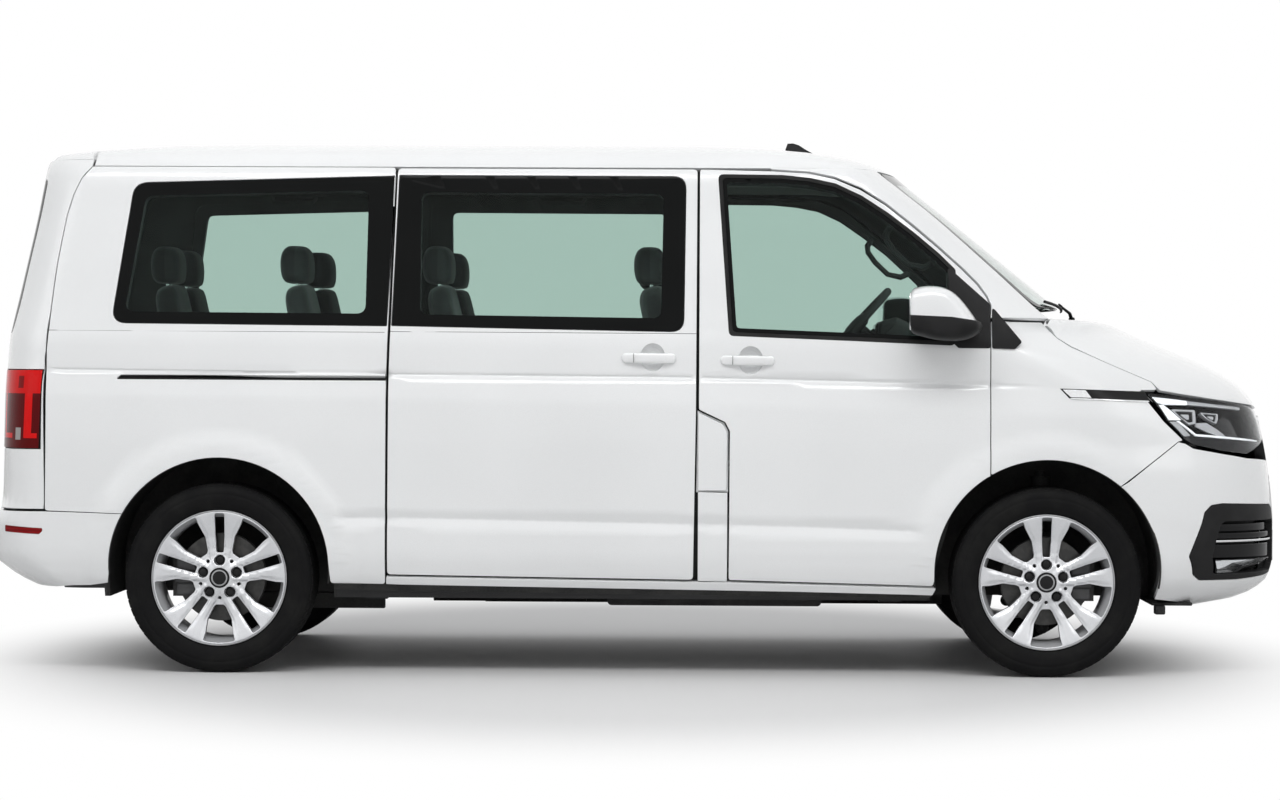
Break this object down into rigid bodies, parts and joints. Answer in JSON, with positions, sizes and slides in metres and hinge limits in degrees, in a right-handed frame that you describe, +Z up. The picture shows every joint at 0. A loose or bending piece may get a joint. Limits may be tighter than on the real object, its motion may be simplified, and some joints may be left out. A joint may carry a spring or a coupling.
{
  "type": "minibus",
  "caption": "White long-cabin passenger minibus with a sliding side door, lifting tailgate and hood, opening front doors, steered and freely turning wheels.",
  "frame": {"origin": "on the ground under the middle of the vehicle's length and width", "axes": "+X towards the nose, +Y towards the left side, +Z up"},
  "size_m": [4.851, 2.296, 1.983],
  "materials": {
    "white": "gloss",
    "tinted_glass": "polished",
    "clear_glass": "polished",
    "black_plastic": "satin",
    "lamp_lens": "polished",
    "red_lens": "gloss",
    "underbody_steel": "matte",
    "cast_iron": "matte",
    "seat_cloth": "matte",
    "dark_trim": "matte",
    "mirror_shell": "gloss",
    "alloy": "satin",
    "tyre_rubber": "matte"
  },
  "bodies": {
    "body": {"roof": "white", "side_left": "white", "side_right": "white", "sliding_door": "white", "sliding_door_glass": "tinted_glass", "side_glass": "tinted_glass", "windscreen": "clear_glass", "fender_left": "white", "fender_right": "white", "front_bumper": "white", "grille": "black_plastic", "headlamps": "lamp_lens", "bulkhead": "black_plastic", "rear_bumper": "white", "floor": "underbody_steel", "wheel_houses": "underbody_steel", "front_frame": "underbody_steel", "front_suspension": "cast_iron", "rear_axle": "cast_iron", "engine": "cast_iron", "underbody": "underbody_steel", "front_seats": "seat_cloth", "rear_seats": "seat_cloth", "dashboard": "dark_trim", "steering_wheel": "dark_trim", "wipers": "black_plastic", "roof_fin": "black_plastic", "handle_sliding": "white", "plate_holder": "black_plastic"},
    "door_right": {"front_door_right": "white", "door_glass_right": "tinted_glass", "mirror_right": "mirror_shell", "handle_right": "white"},
    "door_left": {"front_door_left": "white", "door_glass_left": "tinted_glass", "mirror_left": "mirror_shell", "handle_left": "white"},
    "hood_lid": {"hood": "white"},
    "tailgate_lid": {"tailgate": "white", "tailgate_glass": "tinted_glass", "tail_lamps": "red_lens"},
    "fuel_lid": {"fuel_flap": "white"},
    "knuckle_l": {"knuckle_left": "cast_iron"},
    "knuckle_r": {"knuckle_right": "cast_iron"},
    "wheel_fl": {"rim_front_left": "alloy", "tyre_front_left": "tyre_rubber"},
    "wheel_fr": {"rim_front_right": "alloy", "tyre_front_right": "tyre_rubber"},
    "wheel_rl": {"rim_rear_left": "alloy", "tyre_rear_left": "tyre_rubber"},
    "wheel_rr": {"rim_rear_right": "alloy", "tyre_rear_right": "tyre_rubber"}
  },
  "joints": [
    {"name": "open_front_door_right", "type": "hinge", "parent": "body", "child": "door_right", "pos_m": [1.2965, -0.952, 0.9], "axis": [0, 0, 1], "range_deg": [0, 65]},
    {"name": "open_front_door_left", "type": "hinge", "parent": "body", "child": "door_left", "pos_m": [1.2965, 0.952, 0.9], "axis": [0, 0, -1], "range_deg": [0, 65]},
    {"name": "open_hood", "type": "hinge", "parent": "body", "child": "hood_lid", "pos_m": [1.4925, 0, 1.3], "axis": [0, -1, 0], "range_deg": [0, 50]},
    {"name": "open_tailgate", "type": "hinge", "parent": "body", "child": "tailgate_lid", "pos_m": [-1.9745, 0, 1.925], "axis": [0, 1, 0], "range_deg": [0, 85]},
    {"name": "open_fuel_flap", "type": "hinge", "parent": "body", "child": "fuel_lid", "pos_m": [0.2335, -0.953, 0.82], "axis": [0, 0, -1], "range_deg": [0, 90]},
    {"name": "steer_left", "type": "hinge", "parent": "body", "child": "knuckle_l", "pos_m": [1.5025, 0.754, 0.3435], "axis": [0, 0, 1], "range_deg": [-35, 35]},
    {"name": "steer_right", "type": "hinge", "parent": "body", "child": "knuckle_r", "pos_m": [1.5025, -0.754, 0.3435], "axis": [0, 0, 1], "range_deg": [-35, 35]},
    {"name": "spin_front_left", "type": "hinge", "parent": "knuckle_l", "child": "wheel_fl", "pos_m": [1.5025, 0.814, 0.3435], "axis": [0, 1, 0], "continuous": true},
    {"name": "spin_front_right", "type": "hinge", "parent": "knuckle_r", "child": "wheel_fr", "pos_m": [1.5025, -0.814, 0.3435], "axis": [0, 1, 0], "continuous": true},
    {"name": "spin_rear_left", "type": "hinge", "parent": "body", "child": "wheel_rl", "pos_m": [-1.4975, 0.814, 0.3435], "axis": [0, 1, 0], "continuous": true},
    {"name": "spin_rear_right", "type": "hinge", "parent": "body", "child": "wheel_rr", "pos_m": [-1.4975, -0.814, 0.3435], "axis": [0, 1, 0], "continuous": true}
  ],
  "couplings": [
    {"joint": "steer_right", "follows": "steer_left", "ratio": 1}
  ]
}
